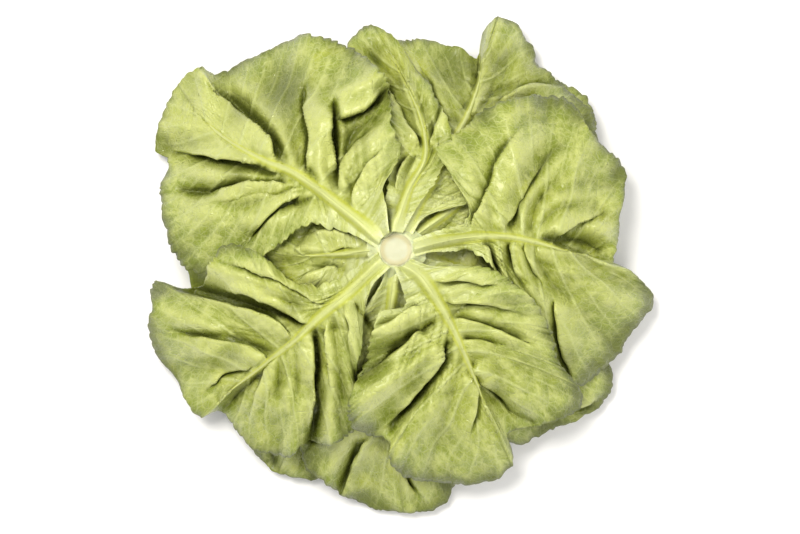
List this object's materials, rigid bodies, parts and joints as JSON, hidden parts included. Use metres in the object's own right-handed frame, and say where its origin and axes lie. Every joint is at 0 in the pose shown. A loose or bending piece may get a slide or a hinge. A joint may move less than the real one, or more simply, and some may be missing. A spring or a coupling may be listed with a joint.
{
  "type": "lettuce",
  "caption": "Loose butterhead lettuce lying on its crown, with the cut stem up and the outer leaves spread round it.",
  "frame": {"origin": "centre of the flat spot of the crown that the head rests on, on the stem's line", "axes": "+Z up along the stem, out of its cut face; +X to the right and +Y up in the picture"},
  "size_m": [0.2794, 0.2796, 0.1142],
  "materials": {
    "green_leaf": "satin, waxy",
    "pale_leaf": "satin, waxy",
    "heart_leaf": "satin",
    "cut_stem": "moist, matt"
  },
  "bodies": {
    "root": {"stem": "cut_stem", "heart": "heart_leaf", "heart_leaf_1": "heart_leaf", "heart_leaf_2": "heart_leaf", "heart_leaf_3": "heart_leaf", "heart_leaf_4": "heart_leaf", "heart_leaf_5": "heart_leaf", "heart_leaf_6": "heart_leaf", "inner_leaf_1": "pale_leaf", "inner_leaf_2": "pale_leaf", "inner_leaf_3": "pale_leaf", "inner_leaf_4": "pale_leaf", "inner_leaf_5": "pale_leaf", "middle_leaf_left": "green_leaf", "middle_leaf_back": "green_leaf", "middle_leaf_back_right": "green_leaf", "middle_leaf_front_right": "green_leaf", "middle_leaf_front": "green_leaf", "middle_leaf_front_left": "green_leaf", "outer_leaf_back": "green_leaf", "outer_leaf_back_left": "green_leaf", "outer_leaf_right": "green_leaf", "outer_leaf_front_left": "green_leaf", "outer_leaf_front_right": "green_leaf"}
  },
  "joints": []
}
